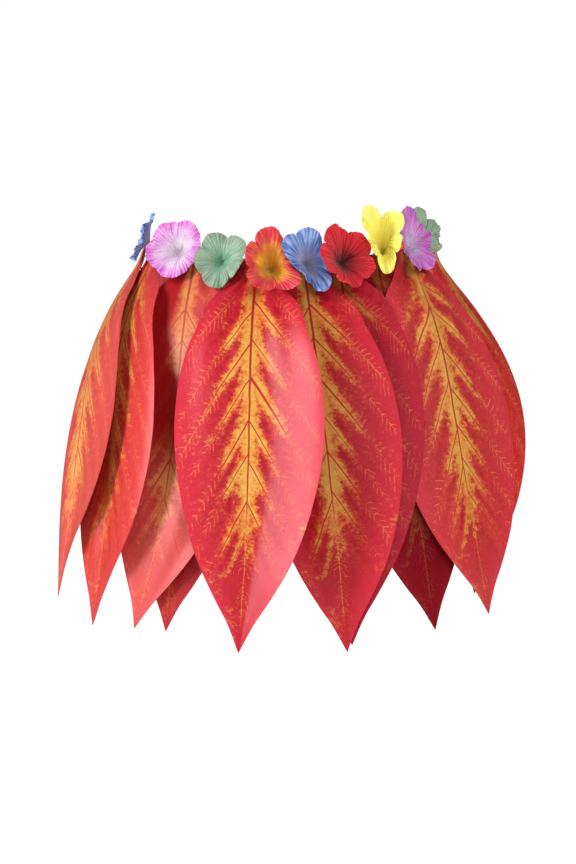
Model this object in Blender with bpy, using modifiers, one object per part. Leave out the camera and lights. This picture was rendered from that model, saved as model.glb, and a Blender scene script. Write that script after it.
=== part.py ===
"""Ti leaf skirt: a costume skirt of printed cloth leaves with a row of cloth flowers.

Three kinds of piece, each a solid of its own:
  waistband   one elastic band, an oval ring that dips a little at the front
  leaf_NN     printed satin leaves, gathered at the top and hung side by side from the band
  flower_NN   five-petalled cloth flowers sewn over the tops of the leaves

The skirt holds the shape that it has when it is worn, and it is hollow from waist to hem.
Metres, +Z up. The origin is the middle of the oval at the band's mean top edge; the front
faces -Y. Azimuth 0 is the front and grows towards +X.
"""

import math
from dataclasses import dataclass

import bpy
import bmesh
import numpy as np

# ----------------------------------------------------------------- driving dimensions
WAIST_HALF_WIDTH = 0.136      # band's outer face, side to side
WAIST_HALF_DEPTH = 0.106      # band's outer face, front to back
WAIST_DIP = 0.022             # the front and back of the band lie this much below its sides
BAND_HEIGHT = 0.016
BAND_WALL = 0.0020
BAND_SEGMENTS = 44

LEAF_LENGTH = 0.372           # pattern length of a leaf at a length factor of 1
LEAF_HALF_WIDTH = 0.059       # half of its widest width
CLOTH_WALL = 0.0012
SEAM_GAP = 0.0004             # between the band and the cloth sewn on it
LEAF_COLUMNS = 6
LEAF_ROWS = 17
ROW_CROWDING = 1.45           # rows lie closer together towards the gathered top

GATHER_DEPTH = 0.0012         # how far a gather stands out at the top of a leaf
GATHER_WAVES = 3.0            # half waves across a half leaf
GATHER_REACH = 0.035          # the gathers fade over this length

SEAT_STEP = CLOTH_WALL + SEAM_GAP   # one leaf's edge resting on the next leaf's
SEAT_REACH = 0.006            # below the band the edges ride up on each other within this
LAYER_STEP = 0.0055           # spacing of the hanging layers, lower down
LAYER_REACH = 0.060           # length over which the layers open out
FLARE_START = 0.016           # the leaves run straight down the band for about this far
HANG_LENGTH = 0.400           # the hang table below covers this much length

FLOWER_SIDES = 25             # five points to each of the five petals
FLOWER_RINGS = 3
PETALS = 5
FLOWER_WALL = 0.0010
FLOWER_CUP = 0.012            # depth of the funnel in the middle of a flower
PETAL_NOTCH = 0.24            # share of the radius cut away between two petals
LOBE_POWER = 0.5              # below 1, the petals' rims are blunt
RUFFLE = 0.0016               # waviness of the petals' rims
FLOWER_FOOT = 0.007           # the leaf tops are felt for this far to each side of the foot
FOOT_TIP = 0.0030             # the foot itself touches for this far to each side
FUNNEL_RISE = 0.45            # a tilted funnel clears the cloth by at least this slope
FOOT_DROP = 0.004             # and this far below the foot's middle; the foot itself, half as far
FLOWER_GAP = 0.0003
FOOT_SEAT = -0.0025           # a foot is sewn at least this far below the band's top edge
CALYX = 0.45                  # share of the radius over which a flower narrows to its foot

# Leaf outline: share of the length from the top, share of the half width.
LEAF_OUTLINE = (
    (0.000, 0.235), (0.020, 0.238), (0.060, 0.350), (0.125, 0.640), (0.205, 0.770),
    (0.285, 0.900), (0.390, 0.985), (0.465, 1.000), (0.540, 0.970), (0.640, 0.875),
    (0.730, 0.738), (0.790, 0.610), (0.840, 0.470), (0.885, 0.330), (0.930, 0.180),
    (1.000, 0.000),
)

# Hang of the skirt: azimuth, then the slope out from the vertical, all in degrees, just
# below the band, halfway down and at the hem.
HANG = (
    (-180.0, 36.0, 11.0, -2.0),
    (-90.0, 33.0, 10.6, -2.0),
    (-50.0, 38.5, 9.8, -3.0),
    (0.0, 32.5, 7.5, 4.0),
    (50.0, 35.5, 14.0, -7.0),
    (90.0, 37.0, 16.0, -15.0),
    (180.0, 36.0, 11.0, -2.0),
)
BELLY = 0.45                  # share of a leaf's length where the second azimuth holds


@dataclass(frozen=True)
class Leaf:
    """One leaf: where it hangs, how long it is, and the layers that it lies on."""

    azimuths: tuple           # at the top, at the belly and at the tip, in degrees
    length: float             # factor on LEAF_LENGTH
    seats: tuple              # left and right edge just below the band, in SEAT_STEPs
    layers: tuple             # left edge, middle, right edge lower down, in LAYER_STEPs


LEAVES = (
    Leaf((-88.5, -67.1, -72.2), 0.917, (1, 1), (1.8, 2.4, 3.0)),
    Leaf((-68.8, -53.8, -55.6), 0.967, (0, 1), (0.5, 1.7, 2.9)),
    Leaf((-40.6, -32.8, -42.0), 0.954, (0, 1), (0.8, 1.2, 1.6)),
    Leaf((-26.3, -29.1, -33.9), 0.949, (0, 0), (0.0, 0.0, 0.0)),
    Leaf((-13.0, -10.9, -12.8), 0.970, (1, 1), (4.0, 3.5, 4.2)),
    Leaf((5.2, 9.5, 14.5), 0.971, (0, 1), (0.4, 1.9, 3.0)),
    Leaf((19.6, 17.2, 15.9), 0.957, (0, 1), (0.0, 1.3, 2.6)),
    Leaf((36.3, 33.5, 38.0), 0.955, (0, 0), (0.0, 0.0, 0.0)),
    Leaf((52.8, 46.3, 50.9), 0.939, (1, 1), (1.1, 2.1, 2.3)),
    Leaf((85.0, 63.4, 48.0), 0.886, (0, 1), (0.4, 0.9, 1.5)),
    Leaf((110.0, 115.4, 123.0), 0.950, (0, 1), (0.2, 0.8, 1.4)),
    Leaf((135.0, 138.5, 142.0), 0.950, (0, 1), (0.2, 0.8, 1.4)),
    Leaf((159.0, 163.0, 167.0), 0.950, (0, 1), (0.2, 0.8, 1.4)),
    Leaf((184.0, 188.0, 191.0), 0.950, (0, 1), (0.2, 0.8, 1.4)),
    Leaf((208.5, 212.0, 216.0), 0.950, (0, 1), (0.2, 0.8, 1.4)),
    Leaf((232.0, 236.2, 241.0), 0.920, (0, 1), (0.2, 0.8, 1.4)),
    Leaf((254.0, 249.4, 247.0), 0.860, (0, 0), (0.0, 0.0, 0.0)),
)


@dataclass(frozen=True)
class Flower:
    """One flower: its place on the band and how it is turned, in degrees and metres."""

    colour: str
    azimuth: float
    rise: float               # height of its middle above the band's top edge
    nod: float                # faces up by this much
    turn: float               # faces towards the next flower of the table by this much
    roll: float               # turn of the petals about the flower's own middle
    radius: float
    fold: float               # its two sides fold forwards by this much
    cup: float = 1.0          # factor on FLOWER_CUP
    pinch: float = 0.0        # its lower petals are drawn together by this share
    lengths: tuple = (1.0, 1.0, 1.0, 1.0, 1.0)      # of its petals, as factors
    lifts: tuple = (0.0, 0.0, 0.0, 0.0, 0.0)        # of its petals' rims, forwards
    notch: float = 1.0        # factor on PETAL_NOTCH


FLOWERS = (
    Flower("blue", -71.0, 0.004, 24.0, -18.0, 20.0, 0.025, 8.0, 0.45),
    Flower(
        "pink", -47.0, -0.002, 16.0, 16.0, 55.0, 0.0283, 2.0, 1.0, 0.0,
        (1.00, 0.97, 0.95, 1.07, 0.95), (0.0, 0.0, 0.005, 0.002, 0.0), 0.55,
    ),
    Flower(
        "green", -26.5, -0.006, 14.0, 18.0, 40.0, 0.0255, 8.0, 0.8, 0.0,
        (1.08, 1.02, 0.95, 1.12, 0.80), (-0.002, 0.0, 0.001, 0.002, 0.006), 0.85,
    ),
    Flower(
        "orange", -7.6, -0.01, 20.0, 18.0, 18.0, 0.031, 10.0, 1.5, -0.2,
        (0.50, 1.20, 0.90, 1.04, 0.97), (-0.003, -0.006, 0.002, 0.004, 0.002), 1.1,
    ),
    Flower(
        "blue", 5.4, -0.0045, 18.0, 18.0, 8.0, 0.031, 10.0, 1.15, 0.30,
        (0.52, 1.00, 1.02, 0.85, 1.12), (-0.001, -0.002, 0.001, 0.008, 0.002),
    ),
    Flower(
        "red", 18.6, -0.006, 18.0, 15.5, 43.0, 0.031, 8.0, 1.35, 0.0,
        (0.95, 1.07, 1.10, 1.00, 0.83), (-0.001, 0.001, 0.003, 0.006, 0.002),
    ),
    Flower(
        "yellow", 36.5, 0.009, 6.0, -18.0, 58.0, 0.027, 30.0, 1.0, 0.1,
        (1.05, 1.38, 0.72, 1.15, 0.56), (0.004, 0.0, 0.004, 0.003, 0.007), 1.8,
    ),
    Flower(
        "orchid", 49.0, 0.003, 14.0, 14.0, 20.0, 0.031, 6.0, 1.0, 0.0,
        (0.70, 1.12, 1.0, 1.0, 0.92), (0.002, 0.0, 0.0, 0.002, 0.002),
    ),
    Flower(
        "green", 62.5, 0.008, 14.0, -18.0, 28.0, 0.0255, 8.0, 0.5, 0.0,
        (0.75, 1.08, 0.55, 0.60, 0.78),
    ),
    Flower("orange", 124.5, -0.011, 16.0, 18.0, 4.0, 0.026, 8.0),
    Flower("blue", 141.0, -0.012, 16.0, 18.0, 24.0, 0.026, 8.0),
    Flower("red", 157.5, -0.005, 16.0, 18.0, 10.0, 0.026, 8.0),
    Flower("yellow", 173.5, -0.005, 16.0, 18.0, 30.0, 0.026, 8.0),
    Flower("pink", 189.5, -0.005, 16.0, 18.0, 16.0, 0.026, 8.0),
    Flower("green", 205.3, -0.005, 16.0, 18.0, 2.0, 0.026, 8.0),
    Flower("red", 221.8, -0.006, 16.0, 18.0, 22.0, 0.026, 8.0),
    Flower("orange", 237.0, -0.007, 16.0, 18.0, 34.0, 0.026, 8.0),
)

COLOURS = {
    "band": (0.34, 0.02, 0.03),
    "leaf": (0.62, 0.045, 0.055),
    "blue": (0.10, 0.22, 0.60),
    "pink": (0.75, 0.25, 0.55),
    "orchid": (0.60, 0.20, 0.55),
    "green": (0.35, 0.55, 0.42),
    "orange": (0.85, 0.22, 0.04),
    "red": (0.62, 0.01, 0.02),
    "yellow": (0.90, 0.66, 0.06),
}


# ----------------------------------------------------------------- the skirt's surface
def smooth_column(rows, column, at):
    """Read one column of a table at a value of its first, without overshooting a row."""
    x = np.array([row[0] for row in rows])
    y = np.array([row[column] for row in rows])
    step = np.diff(x)
    rise = np.diff(y) / step
    slope = np.concatenate(([rise[0]], np.zeros(len(x) - 2), [rise[-1]]))
    for i in range(1, len(x) - 1):
        if rise[i - 1] * rise[i] > 0.0:
            slope[i] = 2.0 * rise[i - 1] * rise[i] / (rise[i - 1] + rise[i])
    i = int(np.clip(np.searchsorted(x, at, side="right") - 1, 0, len(x) - 2))
    t = (at - x[i]) / step[i]
    return (
        (1 + 2 * t) * (1 - t) ** 2 * y[i]
        + t * (1 - t) ** 2 * step[i] * slope[i]
        + t * t * (3 - 2 * t) * y[i + 1]
        + t * t * (t - 1) * step[i] * slope[i + 1]
    )


def smooth_rise(share):
    """Rise from 0 to 1 as a share does, level at both ends."""
    share = min(1.0, max(0.0, share))
    return share * share * (3.0 - 2.0 * share)


def band_top(azimuth):
    """Height of the band's top edge: level with its sides it rises, front and back it dips."""
    return WAIST_DIP * (math.sin(azimuth) ** 2 - 0.5)


def band_point(azimuth, out, height):
    """Point this far out from the band's outer face, square to it."""
    across = WAIST_HALF_DEPTH * math.sin(azimuth)
    along = -WAIST_HALF_WIDTH * math.cos(azimuth)
    size = math.hypot(across, along)
    return (
        WAIST_HALF_WIDTH * math.sin(azimuth) + across / size * out,
        -WAIST_HALF_DEPTH * math.cos(azimuth) + along / size * out,
        height,
    )


def reach_per_radian(azimuth, out):
    """Length round the skirt to one radian of azimuth, this far out from the band."""
    square = (WAIST_HALF_WIDTH * math.cos(azimuth)) ** 2
    square += (WAIST_HALF_DEPTH * math.sin(azimuth)) ** 2
    return math.sqrt(square) + out * WAIST_HALF_WIDTH * WAIST_HALF_DEPTH / square


def hang(azimuth, path):
    """How far out and how far down the cloth is after this length from the band's top."""
    degrees = (math.degrees(azimuth) + 180.0) % 360.0 - 180.0
    top, middle, hem = (math.radians(smooth_column(HANG, c, degrees)) for c in (1, 2, 3))
    steps = 48
    out = down = 0.0
    for i in range(steps):
        s = (i + 0.5) / steps * path
        t = s / HANG_LENGTH
        slope = top * (1 - t) * (1 - 2 * t) + middle * 4 * t * (1 - t) + hem * t * (2 * t - 1)
        slope *= 1.0 - math.exp(-((s / FLARE_START) ** 2))
        out += math.sin(slope) * path / steps
        down += math.cos(slope) * path / steps
    return out, down


# ----------------------------------------------------------------- leaves
def leaf_share(t):
    """Half width of a leaf at share t of its length, as a share of its widest."""
    return max(0.0, smooth_column(LEAF_OUTLINE, 1, t))


def leaf_height(leaf, u, t):
    """How far the middle of a leaf's cloth lies out from the skirt's own surface.

    u runs from -1 to 1 across the leaf, and t from 0 to 1 down its length.
    """
    path = t * LEAF_LENGTH * leaf.length
    opened = 1.0 - math.exp(-((path / LAYER_REACH) ** 2))
    seat = SEAT_STEP * (leaf.seats[0] * (1 - u) + leaf.seats[1] * (1 + u)) / 2.0
    seat *= 1.0 - math.exp(-((path / SEAT_REACH) ** 2))
    left, middle, right = leaf.layers
    q = u * leaf_share(t)
    layer = middle + (right - left) / 2.0 * q + ((right + left) / 2.0 - middle) * q * q
    gather = GATHER_DEPTH * (1 + math.cos(GATHER_WAVES * math.pi * u)) / 2.0 * (1 - u * u)
    gather *= math.exp(-((path / GATHER_REACH) ** 2))
    base = SEAM_GAP + CLOTH_WALL / 2.0
    return base + seat * (1 - opened) + LAYER_STEP * layer * opened + gather


def leaf_azimuth(leaf, t):
    """Azimuth of a leaf's midrib, a smooth curve through its three stations."""
    top, belly, tip = (math.radians(a) for a in leaf.azimuths)
    return (
        top * (t - BELLY) * (t - 1) / BELLY
        + belly * t * (t - 1) / (BELLY * (BELLY - 1))
        + tip * t * (t - BELLY) / (1 - BELLY)
    )


def leaf_point(leaf, u, t):
    """Point of the middle of a leaf's cloth."""
    path = t * LEAF_LENGTH * leaf.length
    rib = leaf_azimuth(leaf, t)
    rib_out, _ = hang(rib, path)
    azimuth = rib + u * LEAF_HALF_WIDTH * leaf_share(t) / reach_per_radian(rib, rib_out)
    out, down = hang(azimuth, path)
    return band_point(azimuth, out + leaf_height(leaf, u, t), band_top(azimuth) - down)


def make_leaf(name, leaf, collection):
    """A leaf: a grid laid on the skirt's surface, closed to a point at the tip."""
    mesh = bmesh.new()
    bmesh.ops.create_grid(mesh, x_segments=LEAF_COLUMNS, y_segments=LEAF_ROWS, size=1.0)
    for vert in mesh.verts:
        t = ((1.0 - vert.co.y) / 2.0) ** ROW_CROWDING
        vert.co = leaf_point(leaf, vert.co.x, t)
    return sheet_object(name, mesh, CLOTH_WALL, "leaf", collection)


# ----------------------------------------------------------------- flowers
def cloth_height(azimuth, path, reach):
    """How far out the leaf tops stand below a funnel that reaches this far to each side."""
    highest = 0.0
    half_angle = reach / reach_per_radian(azimuth, 0.0)
    flare, _ = hang(azimuth, path)
    for leaf in LEAVES:
        t = path / (LEAF_LENGTH * leaf.length)
        half_leaf = LEAF_HALF_WIDTH * leaf_share(t) / reach_per_radian(azimuth, 0.0)
        for share in np.linspace(-1.0, 1.0, 15):
            away = azimuth + half_angle * share - leaf_azimuth(leaf, t)
            away = (away + math.pi) % (2.0 * math.pi) - math.pi
            if abs(away) <= half_leaf:
                top = flare + leaf_height(leaf, away / half_leaf, t) + CLOTH_WALL / 2.0
                highest = max(highest, top - FUNNEL_RISE * reach * abs(share))
    return highest


def petal_value(values, turn):
    """Value at an angle round a flower, from one for each petal."""
    place = (turn / (2.0 * math.pi) * PETALS) % PETALS
    low = int(place) % PETALS
    part = smooth_rise(place - int(place))
    return values[low] * (1.0 - part) + values[(low + 1) % PETALS] * part


def petal_point(flower, ring, turn):
    """Point of a flower before it is placed: x to its right, y up, z out of its face."""
    petal = abs(math.cos(PETALS / 2.0 * turn)) ** LOBE_POWER
    radius = flower.radius * petal_value(flower.lengths, turn)
    radius *= ring * (1.0 - PETAL_NOTCH * flower.notch * (1.0 - petal) * ring)
    x = radius * math.cos(turn + math.radians(flower.roll))
    y = radius * math.sin(turn + math.radians(flower.roll))
    x *= 1.0 - flower.pinch * smooth_rise(-y / flower.radius)
    z = flower.cup * FLOWER_CUP * (1.0 - (1.0 - ring) ** 2)
    z += petal_value(flower.lifts, turn) * ring**2 + RUFFLE * ring**2 * math.cos(PETALS * turn)
    fold = math.radians(flower.fold)
    return x * math.cos(fold), y, z + abs(x) * math.sin(fold)


def flower_turned(flower, point):
    """Nod and turn a flower's point about its foot."""
    x, y, z = point
    nod = math.radians(flower.nod)
    turn = math.radians(flower.turn)
    y, z = y * math.cos(nod) + z * math.sin(nod), z * math.cos(nod) - y * math.sin(nod)
    x, z = x * math.cos(turn) + z * math.sin(turn), z * math.cos(turn) - x * math.sin(turn)
    return x, y, z


def make_flower(name, flower, collection):
    """A flower: a grid rolled into a cupped disc of five petals, its foot on the band."""
    azimuth = math.radians(flower.azimuth)
    seat = min(flower.rise, FOOT_SEAT)
    touching = cloth_height(azimuth, FOOT_DROP / 2.0 - seat, FOOT_TIP)
    clear = cloth_height(azimuth, FOOT_DROP - seat, FLOWER_FOOT)
    out = clear + FLOWER_GAP + FLOWER_WALL / 2.0
    base = band_point(azimuth, out, band_top(azimuth) + flower.rise)
    ahead = band_point(azimuth, out + 1.0, 0.0)
    ahead = (ahead[0] - base[0], ahead[1] - base[1])
    mesh = bmesh.new()
    bmesh.ops.create_grid(mesh, x_segments=FLOWER_SIDES, y_segments=FLOWER_RINGS, size=0.5)
    for vert in mesh.verts:
        turn = (vert.co.x + 0.5) * 2.0 * math.pi
        ring = vert.co.y + 0.5
        x, y, z = flower_turned(flower, petal_point(flower, ring, turn))
        narrowed = 1.0 - smooth_rise(ring / CALYX)
        y -= narrowed * (flower.rise - seat)
        z -= narrowed * (clear - touching)
        vert.co = (
            base[0] - x * ahead[1] + z * ahead[0],
            base[1] + x * ahead[0] + z * ahead[1],
            base[2] + y,
        )
    return sheet_object(name, mesh, FLOWER_WALL, flower.colour, collection)


# ----------------------------------------------------------------- band and objects
def make_band(name, collection):
    """The elastic band: an oval hoop, its top edge dipping front and back."""
    mesh = bmesh.new()
    bmesh.ops.create_circle(mesh, segments=BAND_SEGMENTS, radius=1.0)
    raised = bmesh.ops.extrude_edge_only(mesh, edges=mesh.edges[:])["geom"]
    raised = {item for item in raised if isinstance(item, bmesh.types.BMVert)}
    middle = -BAND_WALL / 2.0
    for vert in mesh.verts:
        azimuth = math.atan2(vert.co.x, -vert.co.y)
        drop = 0.0 if vert in raised else BAND_HEIGHT
        vert.co = band_point(azimuth, middle, band_top(azimuth) - drop)
    return sheet_object(name, mesh, BAND_WALL, "band", collection)


def cloth_material(name):
    """The part's colour in a Principled material."""
    material = bpy.data.materials.get(name) or bpy.data.materials.new(name)
    material.use_nodes = True
    shader = material.node_tree.nodes["Principled BSDF"]
    shader.inputs["Base Color"].default_value = (*COLOURS[name], 1.0)
    shader.inputs["Roughness"].default_value = 0.45
    shader.inputs["Metallic"].default_value = 0.0
    return material


def sheet_object(name, mesh, wall, colour, collection):
    """Weld a sheet, turn it outwards and give it its wall."""
    bmesh.ops.remove_doubles(mesh, verts=mesh.verts[:], dist=1e-6)
    bmesh.ops.recalc_face_normals(mesh, faces=mesh.faces[:])
    data = bpy.data.meshes.new(name)
    mesh.to_mesh(data)
    mesh.free()
    data.materials.append(cloth_material(colour))
    data.shade_smooth()
    piece = bpy.data.objects.new(name, data)
    collection.objects.link(piece)
    solid = piece.modifiers.new("cloth wall", "SOLIDIFY")
    solid.thickness = wall
    solid.offset = 0.0
    return piece


def clear_scene():
    for item in list(bpy.data.objects):
        bpy.data.objects.remove(item, do_unlink=True)


def main():
    clear_scene()
    collection = bpy.data.collections.new("ti_leaf_skirt")
    bpy.context.scene.collection.children.link(collection)
    make_band("waistband", collection)
    for number, leaf in enumerate(LEAVES, start=1):
        make_leaf(f"leaf_{number:02d}", leaf, collection)
    for number, flower in enumerate(FLOWERS, start=1):
        make_flower(f"flower_{number:02d}", flower, collection)


main()
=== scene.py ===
"""Ti leaf skirt: printed satin leaves, cloth flowers and an elastic band, dressed for its looks.

Metres, +Z up. The origin is the middle of the oval at the band's mean top edge; the front
faces -Y. Azimuth 0 is the front and grows towards +X. A leaf's pattern is measured across
from its midrib and down from its sewn top.
"""

import logging
import math
from dataclasses import dataclass, field
from enum import Enum
from functools import cached_property
from typing import Mapping, Optional, Sequence, Union

import bpy
import numpy as np
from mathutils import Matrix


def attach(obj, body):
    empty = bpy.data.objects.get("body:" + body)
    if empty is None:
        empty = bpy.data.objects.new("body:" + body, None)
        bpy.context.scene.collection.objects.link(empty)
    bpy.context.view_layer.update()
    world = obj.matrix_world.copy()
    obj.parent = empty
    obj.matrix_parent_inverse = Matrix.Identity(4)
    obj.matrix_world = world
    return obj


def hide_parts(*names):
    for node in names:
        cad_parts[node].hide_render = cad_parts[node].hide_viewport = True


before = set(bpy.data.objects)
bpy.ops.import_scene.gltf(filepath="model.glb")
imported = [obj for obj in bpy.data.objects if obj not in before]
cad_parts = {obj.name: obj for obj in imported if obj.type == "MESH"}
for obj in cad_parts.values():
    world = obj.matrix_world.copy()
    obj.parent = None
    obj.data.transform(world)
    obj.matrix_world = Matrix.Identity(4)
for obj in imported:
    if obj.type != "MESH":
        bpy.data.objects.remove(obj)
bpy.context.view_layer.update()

LOG = logging.getLogger("ti_leaf_skirt")

Number = Union[float, np.ndarray]
Colour = tuple[float, float, float]
Point = tuple[float, float, float]
Node = bpy.types.Node
Socket = bpy.types.NodeSocket
Inputs = Mapping[Union[str, int], object]
WELD = 0.000005  # vertices this close are the same one


def smoothstep(low: float, high: float, value: Number) -> Number:
    """Rise from 0 to 1 between two values, level at both ends.

    Args:
        low: value where the rise starts.
        high: value where it ends.
        value: where to read it.

    Returns:
        The share of the rise.
    """
    share = np.clip((value - low) / (high - low), 0.0, 1.0)
    return share * share * (3.0 - 2.0 * share)


def spin(first: np.ndarray, second: np.ndarray, degrees: float) -> tuple[np.ndarray, np.ndarray]:
    """Turn a pair of coordinates.

    Args:
        first: the first coordinate of each point.
        second: the second coordinate.
        degrees: angle from the first axis towards the negative second.

    Returns:
        The turned coordinates.
    """
    angle = math.radians(degrees)
    cosine, sine = math.cos(angle), math.sin(angle)
    return first * cosine + second * sine, second * cosine - first * sine


# ---- the skirt's surface
@dataclass(frozen=True)
class SmoothTable:
    """A table that is read between its rows without overshooting them."""

    rows: tuple

    def read(self, column: int, at: Number) -> Number:
        """Read one column at values of the first.

        Args:
            column: which column to read.
            at: values of the first column.

        Returns:
            The values in between the rows.
        """
        x = np.array([row[0] for row in self.rows])
        y = np.array([row[column] for row in self.rows])
        step = np.diff(x)
        rise = np.diff(y) / step
        slope = np.concatenate(([rise[0]], np.zeros(len(x) - 2), [rise[-1]]))
        for i in range(1, len(x) - 1):
            if rise[i - 1] * rise[i] > 0.0:
                slope[i] = 2.0 * rise[i - 1] * rise[i] / (rise[i - 1] + rise[i])
        i = np.clip(np.searchsorted(x, at, side="right") - 1, 0, len(x) - 2)
        t = (at - x[i]) / step[i]
        return (
            (1 + 2 * t) * (1 - t) ** 2 * y[i]
            + t * (1 - t) ** 2 * step[i] * slope[i]
            + t * t * (3 - 2 * t) * y[i + 1]
            + t * t * (t - 1) * step[i] * slope[i + 1]
        )


# Azimuth, and how far the cloth leans outwards at its top, middle and hem, all in degrees.
HANG = SmoothTable((
    (-180.0, 36.0, 11.0, -2.0),
    (-90.0, 33.0, 10.6, -2.0),
    (-50.0, 38.5, 9.8, -3.0),
    (0.0, 32.5, 7.5, 4.0),
    (50.0, 35.5, 14.0, -7.0),
    (90.0, 37.0, 16.0, -15.0),
    (180.0, 36.0, 11.0, -2.0),
))

# Share of a leaf's length, and its half width there as a share of the widest.
LEAF_OUTLINE = SmoothTable((
    (0.000, 0.235), (0.020, 0.238), (0.060, 0.350), (0.125, 0.640), (0.205, 0.770),
    (0.285, 0.900), (0.390, 0.985), (0.465, 1.000), (0.540, 0.970), (0.640, 0.875),
    (0.730, 0.738), (0.790, 0.610), (0.840, 0.470), (0.885, 0.330), (0.930, 0.180),
    (1.000, 0.000),
))


def leaf_share(t: Number) -> Number:
    """Half width of the leaf pattern at a share of its length, as a share of the widest."""
    return np.maximum(0.0, LEAF_OUTLINE.read(1, t))


@dataclass(frozen=True)
class SkirtForm:
    """The worn shape: an oval waist, and how the cloth falls away from it."""

    half_width: float = 0.136  # of the oval of the band's outer face
    half_depth: float = 0.106
    dip: float = 0.022  # the top edge is this much lower at the front and back than at the sides
    band_height: float = 0.016
    band_wall: float = 0.0020
    flare_start: float = 0.016  # the cloth starts to lean outwards over about this length
    hang_length: float = 0.400  # length of cloth from the top lean to the hem lean
    hang_steps: int = 48  # steps in which the cloth is followed down

    def band_top(self, azimuth: Number) -> Number:
        """Height of the band's top edge at an azimuth."""
        return self.dip * (np.sin(azimuth) ** 2 - 0.5)

    def band_point(self, azimuth: Number, out: Number, height: Number) -> np.ndarray:
        """Find points that lie out from the band's outer face, square to it.

        Args:
            azimuth: where round the skirt, in radians.
            out: how far out from the band.
            height: the points' height.

        Returns:
            Rows of x, y and z.
        """
        across = self.half_depth * np.sin(azimuth)
        along = -self.half_width * np.cos(azimuth)
        size = np.hypot(across, along)
        x = self.half_width * np.sin(azimuth) + across / size * out
        y = -self.half_depth * np.cos(azimuth) + along / size * out
        return np.stack(np.broadcast_arrays(x, y, height), axis=-1)

    def reach_per_radian(self, azimuth: Number, out: Number) -> Number:
        """Find the length round the skirt to one radian of azimuth.

        Args:
            azimuth: where round the skirt, in radians.
            out: how far out from the band.

        Returns:
            The length.
        """
        square = (self.half_width * np.cos(azimuth)) ** 2
        square = square + (self.half_depth * np.sin(azimuth)) ** 2
        return np.sqrt(square) + out * self.half_width * self.half_depth / square

    def hang(self, azimuth: Number, path: Number) -> tuple[Number, Number]:
        """Follow the cloth down from the band's top.

        Args:
            azimuth: where round the skirt, in radians.
            path: length of cloth from the band's top edge.

        Returns:
            How far out and how far down the cloth has gone.
        """
        degrees = (np.degrees(azimuth) + 180.0) % 360.0 - 180.0
        top, middle, hem = (np.radians(HANG.read(c, degrees)) for c in (1, 2, 3))
        out = down = 0.0
        for i in range(self.hang_steps):
            s = (i + 0.5) / self.hang_steps * path
            t = s / self.hang_length
            slope = top * (1 - t) * (1 - 2 * t) + middle * 4 * t * (1 - t)
            slope = (slope + hem * t * (2 * t - 1)) * (1.0 - np.exp(-((s / self.flare_start) ** 2)))
            out = out + np.sin(slope) * path / self.hang_steps
            down = down + np.cos(slope) * path / self.hang_steps
        return out, down


# ---- shader nodes
class Value:
    """A shader value that takes plain arithmetic, each operation becoming a Math node."""

    def __init__(self, wires: "Wiring", socket: Socket) -> None:
        """Hold a socket and the wiring that it belongs to."""
        self.wires = wires
        self.socket = socket

    def __add__(self, other: object) -> "Value":
        """Add another value."""
        return self.wires.math("ADD", self, other)

    def __sub__(self, other: object) -> "Value":
        """Take another value away."""
        return self.wires.math("SUBTRACT", self, other)

    def __rsub__(self, other: float) -> "Value":
        """Take this value away from a number."""
        return self.wires.math("SUBTRACT", other, self)

    def __mul__(self, other: object) -> "Product":
        """Multiply by another value."""
        return Product(self.wires, self, other)

    def __truediv__(self, other: object) -> "Value":
        """Divide by another value."""
        return self.wires.math("DIVIDE", self, other)

    def __pow__(self, power: float) -> "Value":
        """Raise to a power."""
        return self.wires.math("POWER", self, power)

    def __abs__(self) -> "Value":
        """Drop the sign."""
        return self.wires.math("ABSOLUTE", self)

    def __gt__(self, other: float) -> "Value":
        """Give 1 where the value is above a number, and 0 elsewhere."""
        return self.wires.math("GREATER_THAN", self, other)


class Product(Value):
    """Two values multiplied, which take one Multiply Add node where a third is added."""

    def __init__(self, wires: "Wiring", first: Value, second: object) -> None:
        """Hold the two factors."""
        self.wires = wires
        self.factors = (first, second)

    @cached_property
    def socket(self) -> Socket:
        """Socket of the product's own Multiply node, made when it is first read."""
        return self.wires.math("MULTIPLY", *self.factors).socket

    def __add__(self, other: object) -> Value:
        """Add another value in the same node."""
        return self.wires.math("MULTIPLY_ADD", *self.factors, other)

    def __sub__(self, other: object) -> Value:
        """Take a number away in the same node, or another value in a node of its own."""
        return self + -other if isinstance(other, float) else super().__sub__(other)


def unwrap(source: object) -> object:
    """Turn a shader value into its socket, and leave anything else as it is."""
    return source.socket if isinstance(source, Value) else source


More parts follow.
